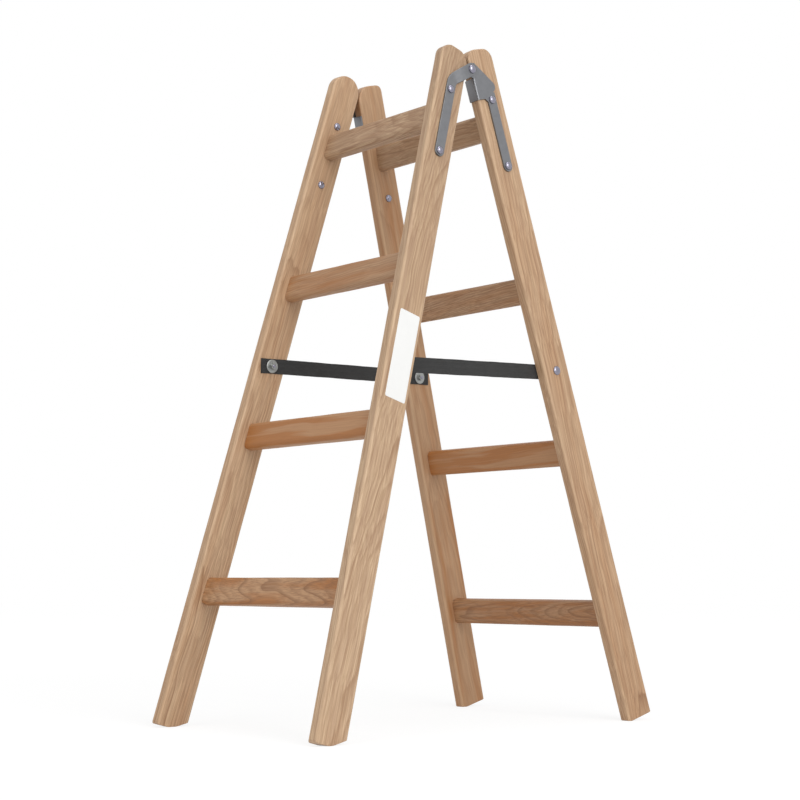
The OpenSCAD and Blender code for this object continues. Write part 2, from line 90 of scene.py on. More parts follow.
class LadderShape(bpy.types.PropertyGroup):
    lean: FloatProperty(
        name="Lean", description="Lean of each frame from upright", default=math.radians(15.6), subtype="ANGLE"
    )
    top_width: length("Top width", "Outside width across the tops of two stiles", 317 * MM)
    foot_width: length("Foot width", "Outside width at the square ends of the front stiles", 450 * MM)
    shut_gap: length("Shut gap", "Room between the stiles of the two frames when shut", 10.4 * MM)
    hinge_drop: length("Hinge drop", "Drop of the hinge axis below the stile tops", 38.5 * MM)
    stile_length: length("Stile length", "Length of a front stile to its square end", 1218 * MM)
    stile_depth: length("Stile depth", "Depth of a stile between its narrow faces", 60 * MM)
    stile_thickness: length("Stile thickness", "Thickness of a stile", 21 * MM)
    stile_edge: length("Stile edge", "Radius of the eased long edges of a stile", 4 * MM)
    rung_height: length("Rung height", "Height of a rung along the stile", 47 * MM)
    rung_thickness: length("Rung thickness", "Thickness of a rung", 23 * MM)
    rung_edge: length("Rung edge", "Radius of the rounded long edges of a rung", 8 * MM)
    front_first_rung: length("Front top rung", "Drop of the top rung of the front frame", 140 * MM)
    front_pitch: length("Front rung pitch", "Distance from rung to rung on the front frame", 280 * MM)
    rear_first_rung: length("Rear top rung", "Drop of the top rung of the rear frame", 139 * MM)
    rear_pitch: length("Rear rung pitch", "Distance from rung to rung on the rear frame", 294 * MM)
    leaf_thickness: length("Leaf thickness", "Thickness of the hinge leaves", 3 * MM)
    leaf_width: length("Leaf width", "Width of the bar of a hinge leaf", 20 * MM)
    leaf_bend: length("Leaf bend", "Drop at which the front leaf turns to the hinge axis", 76 * MM)
    upper_rivet: length("Upper rivet", "Drop of the upper rivet of a leaf", 95 * MM)
    lower_rivet: length("Lower rivet", "Drop of the lower rivet of a leaf", 213 * MM)
    rivet_head: length("Rivet head", "Diameter of the round heads of the rivets", 14 * MM)
    pin_head: length("Pin head", "Diameter of the round heads of the hinge pins", 15 * MM)
    bolt_head: length("Bolt head", "Diameter of the round heads of the strap bolts", 16 * MM)
    washer: length("Washer", "Diameter of the washers on the straps", 24 * MM)
    nut: length("Nut", "Width across the flats of the nuts", 10 * MM)
    strap_width: length("Strap width", "Width of the webbing", 26.5 * MM)
    strap_thickness: length("Strap thickness", "Thickness of the webbing", 2 * MM)
    label_length: length("Label length", "Length of the blank label", 152 * MM)
    label_width: length("Label width", "Width of the blank label", 43 * MM)
    label_drop: length("Label drop", "Drop of the middle of the blank label", 586 * MM)


class LadderFinish(bpy.types.PropertyGroup):
    pale: colour("Pale wood", "Earlywood of the stiles", "#DEC19E")
    grey: colour("Greyed wood", "Streaks of pinkish, weathered wood", "#BC9C80")
    warm: colour("Warm wood", "Orange wood of the rungs and of warm streaks", "#B97A42")
    late: colour("Latewood", "Dark lines of the year rings", "#8A5F3C")
    shade: colour("Darkened wood", "What the darkest pieces turn towards", "#5A3A24")
    leaf: colour("Hinge steel", "Zinc-plated steel of the hinge leaves", "#7F8083")
    bright: colour("Bright steel", "Nickel-plated rivets and bolt heads", "#8E8C99")
    zinc: colour("Zinc", "Dull zinc of the washers and nuts", "#9B9D9B")
    webbing: colour("Webbing", "Black woven polyester of the straps", "#242424")
    label: colour("Label", "Blank vinyl of the label", "#F4F4F2")


class LadderStage(bpy.types.PropertyGroup):
    floor: colour("Floor", "Plain pale floor", "#F2F2F2")
    key_power: FloatProperty(name="Key light", description="Power of the large side light in watts", default=60)
    fill_power: FloatProperty(name="Fill light", description="Power of the front light in watts", default=18)
    top_power: FloatProperty(name="Top light", description="Power of the overhead light in watts", default=22)
    ambient: FloatProperty(name="Ambient", description="Strength of the even light from all round", default=0.45)


def shape():
    return bpy.context.scene.ladder_shape


def finish():
    return bpy.context.scene.ladder_finish


# ---- Places ----


def side_slope():
    s = shape()
    return (s.foot_width - s.top_width) / 2 / s.stile_length


def middle():
    """Distance of a frame's middle plane from the hinge axis, across the frame."""
    return shape().shut_gap / 2 + shape().stile_depth / 2


def on_frame(points, side_of_hinge):
    """Axes of a frame: origin on the hinge axis, +Z up along the frame, +Y out of the ladder.

    The points turn by the lean about X, are mirrored in Y for the front frame, and rise to the hinge.
    """
    lean = shape().lean
    x, y, z = np.moveaxis(points, -1, 0)
    out = y * math.cos(lean) - z * math.sin(lean)
    up = y * math.sin(lean) + z * math.cos(lean) + HINGE_HEIGHT
    return np.stack([x, side_of_hinge * out, up], axis=-1)


def on_stile(points, side_of_hinge, side):
    """Axes of a stile: origin in its outside face, mid depth, at its top; +X out of the face,
    +Y to its outer narrow face and -Z down it. The points turn by the splay about Y, then lie on the frame.
    """
    splay = math.atan(side_slope())
    x, y, z = np.moveaxis(points, -1, 0)
    across = x * math.cos(splay) - z * math.sin(splay) + shape().top_width / 2
    up = x * math.sin(splay) + z * math.cos(splay) + shape().hinge_drop
    return on_frame(np.stack([side * across, y + middle(), up], axis=-1), side_of_hinge)


# ---- Meshes ----


def waves(at, seed, longest, count=6):
    """A smooth random curve between about -1 and 1: sines of shrinking length and height, added."""
    random = np.random.default_rng(seed)
    total = np.zeros_like(at)
    for i in range(count):
        turn = 2 * math.pi * at * 1.7 ** i / longest
        total = total + np.sin(turn + random.uniform(0, 2 * math.pi)) / 1.5 ** i
    return total / 2


def ring_columns(flat_x, flat_y, corner):
    """Columns round a rounded rectangle: each is a share along X, a share along Y and an angle.

    The corner centres are run through in order; along a flat the share eases from 0 to 1 as half a cosine.
    """
    ease_x = (1 - np.cos(np.pi * np.arange(1, flat_x) / flat_x)) / 2
    ease_y = (1 - np.cos(np.pi * np.arange(1, flat_y) / flat_y)) / 2
    arc = np.linspace(0, np.pi / 2, corner + 1)
    parts = [
        (1 + 0 * ease_y, ease_y, 0 * ease_y), (1 + 0 * arc, 1 + 0 * arc, arc),
        (1 - ease_x, 1 + 0 * ease_x, 0 * ease_x + np.pi / 2), (0 * arc, 1 + 0 * arc, arc + np.pi / 2),
        (0 * ease_y, 1 - ease_y, 0 * ease_y + np.pi), (0 * arc, 0 * arc, arc + np.pi),
        (ease_x, 0 * ease_x, 0 * ease_x + 1.5 * np.pi), (1 + 0 * arc, 0 * arc, arc + 1.5 * np.pi),
    ]
    return [np.concatenate(c) for c in zip(*parts)]


def rounded_ring(columns, x0, x1, y0, y1, radius):
    """Points round a rectangle with corners of that radius; every size may be a column of rows."""
    share_x, share_y, angle = columns
    x = x0 + radius + (x1 - x0 - 2 * radius) * share_x + radius * np.cos(angle)
    y = y0 + radius + (y1 - y0 - 2 * radius) * share_y + radius * np.sin(angle)
    return x, y


def tube_faces(rows, columns):
    """Quads between rings that close on themselves, and a fan to one pole at each end."""
    r = np.arange(rows - 1)[:, None] * columns
    c = np.arange(columns)[None, :]
    d = (c + 1) % columns
    quads = np.stack([r + c, r + d, r + d + columns, r + c + columns], axis=-1).reshape(-1, 4)
    first, last = rows * columns, rows * columns + 1
    end = (rows - 1) * columns
    c, d = c[0], d[0]
    fans = np.concatenate([
        np.stack([d, c, 0 * c + first], axis=-1), np.stack([end + c, end + d, 0 * c + last], axis=-1)
    ])
    return quads.tolist() + fans.tolist()


def sheet_faces(rows, columns, start=0):
    """Quads of an open grid."""
    r = np.arange(rows - 1)[:, None] * columns + start
    c = np.arange(columns - 1)[None, :]
    return np.stack([r + c, r + c + 1, r + c + 1 + columns, r + c + columns], axis=-1).reshape(-1, 4).tolist()


def with_poles(rings):
    """Rings as a list of points, with the centre of the first and of the last ring added as poles."""
    return np.concatenate([rings.reshape(-1, 3), rings[:1].mean(axis=1), rings[-1:].mean(axis=1)])


def volume(points, faces):
    """Signed volume inside the faces, which is negative when they point inwards."""
    corners = [(f[0], f[i], f[i + 1]) for f in faces for i in range(1, len(f) - 1)]
    a, b, c = np.moveaxis(points[np.array(corners)], 1, 0)
    return np.einsum("ij,ij->", a, np.cross(b, c)) / 6


def make_mesh(name, points, faces, material, closed=True):
    """A smooth-shaded object from points in place; a closed shape is turned so that its faces point outwards."""
    if closed and volume(points - points.mean(axis=0), faces) < 0:
        faces = [f[::-1] for f in faces]
    mesh = bpy.data.meshes.new(name)
    mesh.from_pydata(points.tolist(), [], faces)
    mesh.polygons.foreach_set("use_smooth", np.ones(len(faces), bool))
    mesh.materials.append(material)
    obj = bpy.data.objects.new(name, mesh)
    bpy.context.scene.collection.objects.link(obj)
    return obj


def give(obj, name, kind, values):
    """Writes one value for each point into a named attribute of the mesh."""
    attribute = obj.data.attributes.new(name, kind, "POINT")
    attribute.data.foreach_set("vector" if kind == "FLOAT_VECTOR" else "value", values.astype(np.float32).ravel())


def stand_for(obj, body, slot, *nodes):
    """The piece rides on a body and stands for CAD nodes, which are hidden; the slot is not used."""
    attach(obj, body)
    if nodes:
        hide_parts(*nodes)
    return obj


# ---- Node materials ----

ATTRIBUTE, SPLIT = "ShaderNodeAttribute", "ShaderNodeSeparateXYZ"
MATH, VECTOR_MATH, MAPPING = "ShaderNodeMath", "ShaderNodeVectorMath", "ShaderNodeMapping"
NOISE, RAMP, MIX, BUMP = "ShaderNodeTexNoise", "ShaderNodeValToRGB", "ShaderNodeMix", "ShaderNodeBump"
PRINCIPLED, OUTPUT = "ShaderNodeBsdfPrincipled", "ShaderNodeOutputMaterial"


def add_node(tree, kind, inputs=(), output=0, stops=(), **settings):
    """Adds a shader node with its settings and links, and returns one of its outputs.

    Inputs are a dict from a socket's name or number to a value or to another node's output. Stops are
    the places and grey levels of a colour ramp.
    """
    node = tree.nodes.new(kind)
    for key, value in settings.items():
        setattr(node, key, value)
    for key, value in dict(inputs).items():
        if isinstance(value, bpy.types.NodeSocket):
            tree.links.new(value, node.inputs[key])
        else:
            node.inputs[key].default_value = value
    for i, (place, level) in enumerate(stops):
        elements = node.color_ramp.elements
        element = elements[i] if i < 2 else elements.new(place)
        element.position = place
        element.color = (level, level, level, 1)
    return node.outputs[output] if node.outputs else node


def new_material(name):
    """An empty node material, and the function that adds nodes to it."""
    material = bpy.data.materials.new(name)
    material.use_nodes = True
    material.node_tree.nodes.clear()
    return material, functools.partial(add_node, material.node_tree)


def opaque(colour_value, share=1.0):
    """A colour scaled by a share, with an alpha of one."""
    return (*(min(1.0, c * share) for c in colour_value), 1.0)


def finish_with(node, height, depth, inputs):
    """Ends a material: a bump of that depth in metres, the shader and the output."""
    normal = node(BUMP, {"Strength": 1.0, "Distance": depth, "Height": height})
    shader = node(PRINCIPLED, {**inputs, "Normal": normal})
    node(OUTPUT, {"Surface": shader})


def pine():
    """Planed pine with a thin clear lacquer, weathered a little: pale earlywood with darker latewood lines
    round a pith, so that flat-sawn faces show flames and quarter-sawn ones lines, long pinkish and orange
    streaks, short fibres, and a painted highlight on the arrises, which are painted paler. The rings are
    drawn 3.4 mm wide, coarser than real ones, so that they show from a few steps away.
    """
    f = finish()
    material, node = new_material("planed pine")
    ring_width = 3.4 * MM
    grain = node(ATTRIBUTE, output="Vector", attribute_name="grain")
    look = node(ATTRIBUTE, output="Vector", attribute_name="look")
    painted_arris_highlight = node(ATTRIBUTE, output="Fac", attribute_name="painted_arris_highlight")
    tone, warmth, contrast = (node(SPLIT, {"Vector": look}, output=axis) for axis in "XYZ")

    # Noise on the grain, stretched to a width across it and a length along it.
    slow, quick, fibre, streak, patch = (
        node(NOISE, {
            "Vector": node(MAPPING, {"Vector": grain, "Scale": (1 / across, 1 / across, 1 / along)}),
            "Scale": 1.0, "Detail": detail, "Roughness": 0.55,
        })
        for across, along, detail in (
            (34 * MM, 260 * MM, 1.0), (6 * MM, 130 * MM, 2.0), (1.3 * MM, 95 * MM, 3.0),
            (3.4 * MM, 170 * MM, 3.0), (15 * MM, 260 * MM, 2.0),
        )
    )
    flat = node(VECTOR_MATH, {0: grain, 1: (1.0, 1.0, 0.0)}, operation="MULTIPLY")
    radius = node(VECTOR_MATH, {0: flat}, output="Value", operation="LENGTH")
    radius = node(MATH, {0: slow, 1: 9 * MM, 2: radius}, operation="MULTIPLY_ADD")
    radius = node(MATH, {0: quick, 1: 1.6 * MM, 2: radius}, operation="MULTIPLY_ADD")
    age = node(MATH, {0: radius, 1: ring_width}, operation="DIVIDE")
    year = node(MATH, {0: age}, operation="FLOOR")
    season = node(MATH, {0: age}, operation="FRACT")
    vigour = node("ShaderNodeTexWhiteNoise", {"W": year}, output="Value", noise_dimensions="1D")
    vigour = node(MATH, {0: vigour, 1: 0.8, 2: 0.2}, operation="MULTIPLY_ADD")
    latewood = node(RAMP, {"Fac": season}, stops=[
        (0.0, 0.25), (1.0, 0.25), (0.1, 0.0), (0.5, 0.1), (0.82, 0.8), (0.93, 1.0),
    ])
    line = node(MATH, {0: latewood, 1: vigour}, operation="MULTIPLY")
    line = node(MATH, {0: line, 1: contrast}, operation="MULTIPLY")

    grey_share = node(RAMP, {"Fac": streak}, stops=[(0.38, 0.0), (0.62, 0.85)])
    warm_share = node(RAMP, {"Fac": patch}, stops=[(0.42, 0.0), (0.72, 0.75)])
    warm_share = node(MATH, {0: warm_share, 1: warmth}, operation="MULTIPLY")
    warm_share = node(MATH, {0: warmth, 1: 0.7, 2: warm_share}, operation="MULTIPLY_ADD", use_clamp=True)
    cold_share = node(MATH, {0: 1.0, 1: warmth}, operation="SUBTRACT")
    grey_share = node(MATH, {0: grey_share, 1: cold_share}, operation="MULTIPLY")
    wood = node(MIX, {0: grey_share, 6: opaque(f.pale), 7: opaque(f.grey)}, output=2, data_type="RGBA")
    wood = node(MIX, {0: warm_share, 6: wood, 7: opaque(f.warm)}, output=2, data_type="RGBA")
    wood = node(MIX, {0: line, 6: wood, 7: opaque(f.late)}, output=2, data_type="RGBA")
    fibre_share = node(RAMP, {"Fac": fibre}, stops=[(0.42, 0.0), (0.68, 0.8)])
    fibre_share = node(MATH, {0: fibre_share, 1: contrast}, operation="MULTIPLY")
    wood = node(MIX, {0: fibre_share, 6: wood, 7: opaque(f.late)}, output=2, data_type="RGBA")
    wood = node(MIX, {0: tone, 6: wood, 7: opaque(f.shade)}, output=2, data_type="RGBA")
    # Painted highlight: the arrises are mixed towards pale wood made 5 % brighter, standing in for light on the
    # eased edges.
    wood = node(MIX, {0: painted_arris_highlight, 6: wood, 7: opaque(f.pale, 1.05)}, output=2, data_type="RGBA")
    relief = node(MATH, {0: fibre, 1: 0.6, 2: line}, operation="MULTIPLY_ADD")
    gloss = node(MATH, {0: fibre, 1: 0.2, 2: 0.42}, operation="MULTIPLY_ADD")
    finish_with(node, relief, 0.12 * MM, {"Base Color": wood, "Roughness": gloss})
    return material


def plated_steel(name, tint, roughness, cloudiness):
    """Zinc or nickel plate on pressed steel: an even grey metal, faintly cloudy over a few millimetres,
    with fine pits from handling that break its highlights.
    """
    material, node = new_material(name)
    place = node("ShaderNodeTexCoord", output="Object")
    cloud, pits = (
        node(NOISE, {"Vector": place, "Scale": 1 / size, "Detail": 3.0}) for size in (8 * MM, 1.1 * MM)
    )
    base = node(
        MIX, {0: cloud, 6: opaque(tint, 1 - cloudiness), 7: opaque(tint, 1 + cloudiness)},
        output=2, data_type="RGBA",
    )
    gloss = node(MATH, {0: cloud, 1: 0.16, 2: roughness - 0.08}, operation="MULTIPLY_ADD")
    finish_with(node, pits, 0.02 * MM, {"Base Color": base, "Metallic": 1.0, "Roughness": gloss})
    return material


def woven_webbing():
    """Black polyester webbing: ribs of twisted yarn along it, crossed by picks in a herringbone, and
    matte with a faint sheen of loose fibre. Its colour holds painted shade and highlight: darker in the
    grooves of the weave and lighter on its crests, under a slow cloud of wear.
    """
    tint = finish().webbing
    material, node = new_material("black polyester webbing")
    weave = node(ATTRIBUTE, output="Vector", attribute_name="weave")
    across, along = (node(SPLIT, {"Vector": weave}, output=axis) for axis in "XY")
    rib = node(MATH, {0: across, 1: 2 * math.pi / (2.1 * MM)}, operation="MULTIPLY")
    rib = node(MATH, {0: rib}, operation="SINE")
    slant = node(MATH, {0: across, 1: 4.2 * MM}, operation="PINGPONG")
    slant = node(MATH, {0: slant, 1: along}, operation="ADD")
    pick = node(MATH, {0: slant, 1: 2 * math.pi / (1.9 * MM)}, operation="MULTIPLY")
    pick = node(MATH, {0: pick}, operation="SINE")
    height = node(MATH, {0: rib, 1: 0.6, 2: pick}, operation="MULTIPLY_ADD")
    wear = node(NOISE, {"Vector": weave, "Scale": 1 / (16 * MM), "Detail": 3.0})
    # Painted shade and highlight: the colour follows the height of the weave, darker in its grooves and lighter on
    # its crests; the noise adds wear.
    light = node(MATH, {0: height, 1: 0.16, 2: wear}, operation="MULTIPLY_ADD", use_clamp=True)
    base = node(MIX, {0: light, 6: opaque(tint, 0.5), 7: opaque(tint, 1.6)}, output=2, data_type="RGBA")
    finish_with(node, height, 0.25 * MM, {"Base Color": base, "Roughness": 0.85, "Sheen Weight": 0.15})
    return material


def vinyl():
    """Blank white vinyl film: smooth, faintly glossy and a little wavy over the wood, with a painted shade
    that makes it a little darker where the waves dip.
    """
    tint = finish().label
    material, node = new_material("blank white vinyl")
    place = node("ShaderNodeTexCoord", output="Object")
    cloud = node(NOISE, {"Vector": place, "Scale": 1 / (14 * MM), "Detail": 2.0})
    # Painted shade: the noise that makes the waves darkens the colour by up to 4 % where they dip.
    base = node(MIX, {0: cloud, 6: opaque(tint, 0.96), 7: opaque(tint)}, output=2, data_type="RGBA")
    finish_with(node, cloud, 0.15 * MM, {"Base Color": base, "Roughness": 0.38})
    return material


MATERIALS = {}


class LADDER_OT_finishes(bpy.types.Operator):
    """Makes the materials and gives them to the CAD nodes"""
    bl_idname = "ladder.finishes"
    bl_label = "Finishes"

    def execute(self, context):
        f = finish()
        wood = pine()
        MATERIALS.update({
            "stile_pine": wood,
            "rung_pine": wood,
            "hinge_steel": plated_steel("zinc-plated hinge steel", f.leaf, 0.42, 0.12),
            "bright_steel": plated_steel("nickel-plated rivet steel", f.bright, 0.22, 0.15),
            "zinc": plated_steel("dull zinc-plated steel", f.zinc, 0.36, 0.15),
            "webbing": woven_webbing(),
            "label": vinyl(),
        })
        for part in frame["record"]["subparts"]:
            mesh = frame["nodes"][part["node"]].data
            mesh.materials.clear()
            mesh.materials.append(MATERIALS[part["material_slot"]])
        return {"FINISHED"}


# ---- Stiles ----

# Of each stile: the drop of its top and the radii of its outer and inner corner in mm, the drop of its
# strap bolt in mm, the place of its pith across the thickness and the depth in mm, how far that place
# moves along the whole stile, and its tone, warmth and contrast at the top and at the foot.
STILES = {
    (FRONT, RIGHT): {
        "top": (12.5, 22, 24), "strap": 597, "pith": (-150, -60), "drift": (50, 30),
        "look": ((0.32, 0.10, 0.5), (0.0, 0.08, 0.6)),
    },
    (FRONT, LEFT): {
        "top": (-6.5, 29, 29), "strap": 567, "pith": (70, 10), "drift": (-34, 26),
        "look": ((0.12, 0.24, 0.4), (0.0, 0.26, 0.75)),
    },
    (REAR, RIGHT): {
        "top": (3, 20, 20), "strap": 581, "pith": (-110, 60), "drift": (30, -40),
        "look": ((0.16, 0.18, 0.5), (0.06, 0.36, 0.8)),
    },
    (REAR, LEFT): {
        "top": (0, 12, 29), "strap": 559, "pith": (90, -30), "drift": (-20, 26),
        "look": ((0.18, 0.5, 0.35), (0.12, 0.62, 0.4)),
    },
}
TOP_EASE = 2.5 * MM
FOOT_EASE = 1.2 * MM
BEVEL_RISE = 16 * MM
FOOT_CORNER = 5 * MM
FOOT_FLAT = 8 * MM
ROW_STEP = 5 * MM


def soft_least(values, softness):
    """The least of several arrays, rounded over where two of them meet."""
    values = np.stack(np.broadcast_arrays(*values))
    least = values.min(axis=0)
    return least - softness * np.log(np.exp(-(values - least) / softness).sum(axis=0))


def end_drop(x, y, side_of_hinge):
    """Drop at which the foot ends at each point across a stile: the least of its square end, the slanting
    cut and round corner of a front stile, and the ground, which is level Z = 0 in the ladder's axes.
    """
    s, splay = shape(), math.atan(side_slope())
    half = s.stile_depth / 2
    level = (HINGE_HEIGHT + (middle() + y) * math.sin(s.lean)) / math.cos(s.lean)
    ground = (s.hinge_drop + x * math.sin(splay) + level) / math.cos(splay)
    if side_of_hinge == REAR:
        return soft_least([ground, rear_stile_length() + 0 * x], 0.25 * MM)
    beyond = np.clip(y - (half - FOOT_CORNER), 0, FOOT_CORNER * 0.999)
    corner = s.stile_length - FOOT_CORNER + np.sqrt(FOOT_CORNER ** 2 - beyond ** 2)
    slant = s.stile_length + BEVEL_RISE * y / half
    return soft_least([ground, corner + 0 * x, slant + 0 * x], 0.25 * MM)


def rear_stile_length():
    """Drop of a rear stile's square end: its inner corner, before the flat is worn, reaches the ground."""
    s = shape()
    wear = FOOT_FLAT * math.sin(s.lean) * math.cos(s.lean)
    reach = (HINGE_HEIGHT + wear + s.shut_gap / 2 * math.sin(s.lean)) / math.cos(s.lean)
    return (s.hinge_drop + reach) / math.cos(math.atan(side_slope()))


def stile_rings(side_of_hinge, top_sizes, seed):
    """Rings down a stile in its own axes. Each is a rectangle with eased corners whose two narrow sides
    follow the arcs of the top; the last rings sink to the end of the foot and close over it.
    """
    s = shape()
    start, outer, inner = (size * MM for size in top_sizes)
    half, thick = s.stile_depth / 2, s.stile_thickness
    columns = ring_columns(10, 26, 6)
    top = max(outer, inner)
    arc = top * (1 - np.cos(np.linspace(0, np.pi / 2, 20)))
    foot_start = s.stile_length - 40 * MM
    body = np.arange(top + ROW_STEP, foot_start - start - ROW_STEP, ROW_STEP)
    drop = np.concatenate([arc, body])[:, None]
    low = -half + inner - np.sqrt(inner ** 2 - np.clip(inner - drop, 0, None) ** 2)
    high = half - outer + np.sqrt(outer ** 2 - np.clip(outer - drop, 0, None) ** 2)
    pinch = TOP_EASE - np.sqrt(TOP_EASE ** 2 - np.clip(TOP_EASE - drop, 0, None) ** 2)
    edge = s.stile_edge * (1 + 0.10 * waves(drop, seed, 0.3))
    edge = np.minimum(edge, (thick / 2 - pinch) * 0.9)
    x, y = rounded_ring(columns, -thick + pinch, 0 * drop - pinch, low, high, edge)
    rows = [np.stack([x, y, -start - drop + 0 * x], axis=-1)]
    # The foot, from full section to its end, with the arris eased over the last rings.
    full = rounded_ring(columns, -thick, 0.0, -half, half, s.stile_edge)
    for share in np.linspace(0, 1, 9)[1:]:
        end = end_drop(*full, side_of_hinge) - FOOT_EASE
        z = foot_start + (end - foot_start) * share
        rows.append(np.stack([*full, -z], axis=-1)[None])
    for turn in np.linspace(0, np.pi / 2, 5)[1:]:
        inset = FOOT_EASE * (1 - math.cos(turn))
        eased = rounded_ring(columns, -thick + inset, -inset, -half + inset, half - inset, s.stile_edge - inset)
        z = end_drop(*eased, side_of_hinge) - FOOT_EASE * (1 - math.sin(turn))
        rows.append(np.stack([*eased, -z], axis=-1)[None])
    for share in np.linspace(1, 0.04, 14)[1:]:
        x, y = -thick / 2 + (eased[0] + thick / 2) * share, eased[1] * share
        rows.append(np.stack([x, y, -end_drop(x, y, side_of_hinge)], axis=-1)[None])
    cap = rows[0][:1]
    centre = cap.mean(axis=1, keepdims=True)
    caps = [centre + (cap - centre) * share for share in (0.04, 0.35, 0.7)]
    return np.concatenate(caps + rows)


def pith_offset(points, pith, drift, seed):
    """Place of each point from the pith: the pith moves evenly by its drift and wanders slowly."""
    along = -points[:, 2:3]
    share = along / shape().stile_length
    wander = np.concatenate([waves(along, seed + 1, 0.9), waves(along, seed + 2, 0.7)], axis=1) * 3 * MM
    across = points[:, :2] - (np.array(pith) + np.array(drift) * share) * MM - wander
    return np.concatenate([across, along + 0.37 * seed], axis=1)


def give_wood(obj, grain, share, looks, painted_arris_highlight):
    """Gives a piece its grain, its tone, warmth and contrast from one end to the other, and how far each
    point takes the painted highlight along an arris.
    """
    first, last = (np.array(look) for look in looks)
    give(obj, "grain", "FLOAT_VECTOR", grain)
    give(obj, "look", "FLOAT_VECTOR", first + (last - first) * np.clip(share, 0, 1)[:, None])
    give(obj, "painted_arris_highlight", "FLOAT", painted_arris_highlight)


def arris_share(across, depth, half_across, half_depth, width):
    """How far a point is an arris: 1 at the corner of the section, falling to 0 over a width away from it."""
    from_corner = (half_across - np.abs(across)) + (half_depth - np.abs(depth))
    return np.clip(1 - from_corner / width, 0, 1)


class LADDER_OT_stiles(bpy.types.Operator):
    """Makes the four pine stiles"""
    bl_idname = "ladder.stiles"
    bl_label = "Stiles"

    def execute(self, context):
        s = shape()
        for seed, ((hinge_side, side), stile) in enumerate(STILES.items(), start=3):
            node = f"{FRAME_NAMES[hinge_side]}_stile_{SIDE_NAMES[side]}"
            rings = stile_rings(hinge_side, stile["top"], seed)
            local = with_poles(rings)
            obj = make_mesh(
                f"pine_{node}", on_stile(local, hinge_side, side), tube_faces(*rings.shape[:2]),
                MATERIALS["stile_pine"],
            )
            half = s.stile_thickness / 2
            # Painted highlight along the eased edges of the stile, at half strength.
            painted_arris_highlight = arris_share(local[:, 0] + half, local[:, 1], half, s.stile_depth / 2, 5 * MM) * 0.5
            grain = pith_offset(local, stile["pith"], stile["drift"], seed)
            give_wood(obj, grain, -local[:, 2] / s.stile_length, stile["look"], painted_arris_highlight)
            stand_for(obj, f"{FRAME_NAMES[hinge_side]}_frame", "stile_pine", node)
        return {"FINISHED"}


# ---- Rungs ----

# Of each rung: the place of its pith across the thickness and the height in mm, how far that place moves
# over half a metre, and its tone, warmth and contrast at its left and at its right end.
RUNGS = {
    (FRONT, 1): ((-60, 8), (30, 14), ((0.30, 0.25, 0.8), (0.26, 0.2, 0.8))),
    (FRONT, 2): ((-70, -120), (12, 30), ((0.20, 0.75, 0.5), (0.30, 0.55, 0.5))),
    (FRONT, 3): ((160, -190), (10, 12), ((0.16, 1.0, 0.2), (0.20, 0.95, 0.2))),
    (FRONT, 4): ((-46, 3), (46, -8), ((0.10, 0.75, 0.8), (0.12, 0.8, 0.8))),
    (REAR, 1): ((-60, 40), (20, 20), ((0.30, 0.25, 0.6), (0.24, 0.3, 0.6))),
    (REAR, 2): ((-38, -90), (40, 34), ((0.26, 0.45, 0.9), (0.24, 0.5, 0.8))),
    (REAR, 3): ((170, -210), (8, 14), ((0.18, 1.0, 0.2), (0.22, 1.0, 0.2))),
    (REAR, 4): ((-40, 2), (40, 6), ((0.22, 0.85, 0.8), (0.26, 0.9, 0.8))),
}
SHOULDER_EASE = 0.6 * MM


def rung_drop(side_of_hinge, number):
    s = shape()
    if side_of_hinge == FRONT:
        return s.front_first_rung + (number - 1) * s.front_pitch
    return s.rear_first_rung + (number - 1) * s.rear_pitch


def rung_rings(drop, seed):
    """Rings along a rung in the axes of the frame: the rounded section runs between the inside faces of
    the stiles, which spread with the drop, and shrinks a little at each shoulder.
    """
    s = shape()
    slope = side_slope()
    inside = s.top_width / 2 - s.stile_thickness / math.cos(math.atan(slope))
    columns = ring_columns(8, 20, 8)
    turn = np.linspace(0, np.pi / 2, 5)[:-1]
    near_end = 1 - (1 - np.sin(turn)) * SHOULDER_EASE / 0.15
    run = np.linspace(0, 0.99, 40)
    half_run = np.concatenate([run, near_end[near_end > 0.99]])
    share = np.concatenate([-half_run[::-1], half_run[1:]])[:, None]
    inset = SHOULDER_EASE * np.clip((np.abs(share) - 0.996) / 0.004, 0, 1) ** 2
    edge = s.rung_edge * (1 + 0.06 * waves(share, seed, 1.3))
    y, z = rounded_ring(
        columns, -s.rung_thickness / 2 + inset, s.rung_thickness / 2 - inset,
        -s.rung_height / 2 + inset, s.rung_height / 2 - inset, edge,
    )
    x = share * (inside + (drop - z) * slope)
    rings = np.stack([x, y, z], axis=-1)
    first, last = rings[:1], rings[-1:]
    caps = [0.05, 0.5]
    head = [first.mean(axis=1, keepdims=True) * (1 - c) + first * c for c in caps]
    tail = [last.mean(axis=1, keepdims=True) * (1 - c) + last * c for c in caps[::-1]]
    return np.concatenate(head + [rings] + tail)


class LADDER_OT_rungs(bpy.types.Operator):
    """Makes the eight pine rungs"""
    bl_idname = "ladder.rungs"
    bl_label = "Rungs"

    def execute(self, context):
        s = shape()
        for seed, ((hinge_side, number), (pith, drift, looks)) in enumerate(RUNGS.items(), start=20):
            drop = rung_drop(hinge_side, number)
            rings = rung_rings(drop, seed)
            local = with_poles(rings)
            placed = local + np.array([0, middle(), s.hinge_drop - drop])
            obj = make_mesh(
                f"pine_{FRAME_NAMES[hinge_side]}_rung_{number}", on_frame(placed, hinge_side),
                tube_faces(*rings.shape[:2]), MATERIALS["rung_pine"],
            )
            turned_grain = local[:, [1, 2, 0]] * np.array([1, 1, -1])
            grain = pith_offset(turned_grain, pith, np.array(drift) * 2.4, seed)
            give_wood(obj, grain, local[:, 0] / s.foot_width + 0.5, looks, np.zeros(len(local)))
            stand_for(
                obj, f"{FRAME_NAMES[hinge_side]}_frame", "rung_pine", f"{FRAME_NAMES[hinge_side]}_rung_{number}"
            )
        return {"FINISHED"}


# ---- Flat bars ----

END_ROWS = 8


